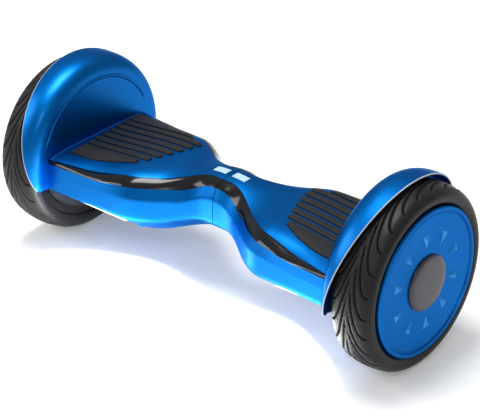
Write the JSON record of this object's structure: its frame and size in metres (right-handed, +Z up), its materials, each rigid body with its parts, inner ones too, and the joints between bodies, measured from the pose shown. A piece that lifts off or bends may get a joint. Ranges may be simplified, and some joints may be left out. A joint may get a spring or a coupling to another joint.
{
  "type": "self balancing hoverboard",
  "caption": "Two-wheeled self balancing board: waisted body in two pivoting halves, big covered wheels under fenders, rubber foot pads.",
  "frame": {"origin": "on the floor, midway between the wheels, under the pivot", "axes": "+Z up, X along the wheel axis, -Y towards the headlights"},
  "size_m": [0.658, 0.2652, 0.2644],
  "materials": {
    "shell_blue": "metallic satin paint on moulded plastic",
    "shell_black": "gloss black",
    "trim_light": "light grey satin",
    "pad_rubber": "fine textured rubber",
    "tyre": "matt rubber with tread",
    "cap_grey": "satin dark grey",
    "clear": "clear polished",
    "cast_alloy": "sand cast",
    "steel": "turned steel",
    "copper": "enamelled copper",
    "magnet": "nickel plated",
    "circuit": "printed circuit board",
    "heat_sink": "board with finned aluminium heat sink",
    "battery": "heat shrink sleeve on cells",
    "bush": "sintered bronze",
    "black_plastic": "satin black"
  },
  "bodies": {
    "left_half": {"left_upper_shell": "shell_blue", "left_lower_shell": "shell_blue", "left_fender": "shell_blue", "left_fender_trim": "trim_light", "left_front_strip": "shell_black", "left_rear_strip": "shell_black", "left_indicator_window": "clear", "left_headlight_lens": "clear", "left_headlight_board": "circuit", "left_axle": "steel", "left_axle_clamp": "cast_alloy", "left_clamp_bolts": "steel", "left_gyro_board": "circuit", "left_shell_screws": "steel", "left_stator_core": "steel", "left_stator_windings": "copper", "left_frame": "cast_alloy", "pivot_tube": "steel", "main_board": "heat_sink", "charging_socket": "black_plastic", "button_switch": "black_plastic"},
    "right_half": {"right_upper_shell": "shell_blue", "right_lower_shell": "shell_blue", "right_fender": "shell_blue", "right_fender_trim": "trim_light", "right_front_strip": "shell_black", "right_rear_strip": "shell_black", "right_indicator_window": "clear", "right_headlight_lens": "clear", "right_headlight_board": "circuit", "right_axle": "steel", "right_axle_clamp": "cast_alloy", "right_clamp_bolts": "steel", "right_gyro_board": "circuit", "right_shell_screws": "steel", "right_stator_core": "steel", "right_stator_windings": "copper", "right_frame": "cast_alloy", "pivot_bushes": "bush", "pivot_circlip": "steel", "battery_pack": "battery", "battery_straps": "steel"},
    "left_wheel": {"left_magnet_ring": "magnet", "left_rim": "cast_alloy", "left_motor_cover": "cast_alloy", "left_hub_bearings": "steel", "left_tyre": "tyre", "left_wheel_cover": "shell_blue", "left_hub_cap": "cap_grey"},
    "right_wheel": {"right_magnet_ring": "magnet", "right_rim": "cast_alloy", "right_motor_cover": "cast_alloy", "right_hub_bearings": "steel", "right_tyre": "tyre", "right_wheel_cover": "shell_blue", "right_hub_cap": "cap_grey"},
    "left_pad": {"left_footpad": "pad_rubber"},
    "right_pad": {"right_footpad": "pad_rubber"},
    "button": {"power_button": "black_plastic"},
    "socket_cap": {"charge_cap": "pad_rubber"}
  },
  "joints": [
    {"name": "center_pivot", "type": "hinge", "parent": "left_half", "child": "right_half", "pos_m": [0, 0, 0.127], "axis": [1, 0, 0], "range_deg": [-10, 10]},
    {"name": "left_wheel_spin", "type": "hinge", "parent": "left_half", "child": "left_wheel", "pos_m": [-0.293, 0, 0.127], "axis": [1, 0, 0], "continuous": true},
    {"name": "right_wheel_spin", "type": "hinge", "parent": "right_half", "child": "right_wheel", "pos_m": [0.293, 0, 0.127], "axis": [1, 0, 0], "continuous": true},
    {"name": "left_pad_press", "type": "slide", "parent": "left_half", "child": "left_pad", "axis": [0, 0, -1], "range_m": [0, 0.0015], "stiffness_N_per_m": 20000},
    {"name": "right_pad_press", "type": "slide", "parent": "right_half", "child": "right_pad", "axis": [0, 0, -1], "range_m": [0, 0.0015], "stiffness_N_per_m": 20000},
    {"name": "power_button_press", "type": "slide", "parent": "left_half", "child": "button", "axis": [0, -1, 0], "range_m": [0, 0.0008], "stiffness_N_per_m": 1500},
    {"name": "charge_cap_hinge", "type": "hinge", "parent": "left_half", "child": "socket_cap", "pos_m": [-0.1796, 0.09817, 0.11], "axis": [-1, 0, 0], "range_deg": [0, 110]}
  ]
}
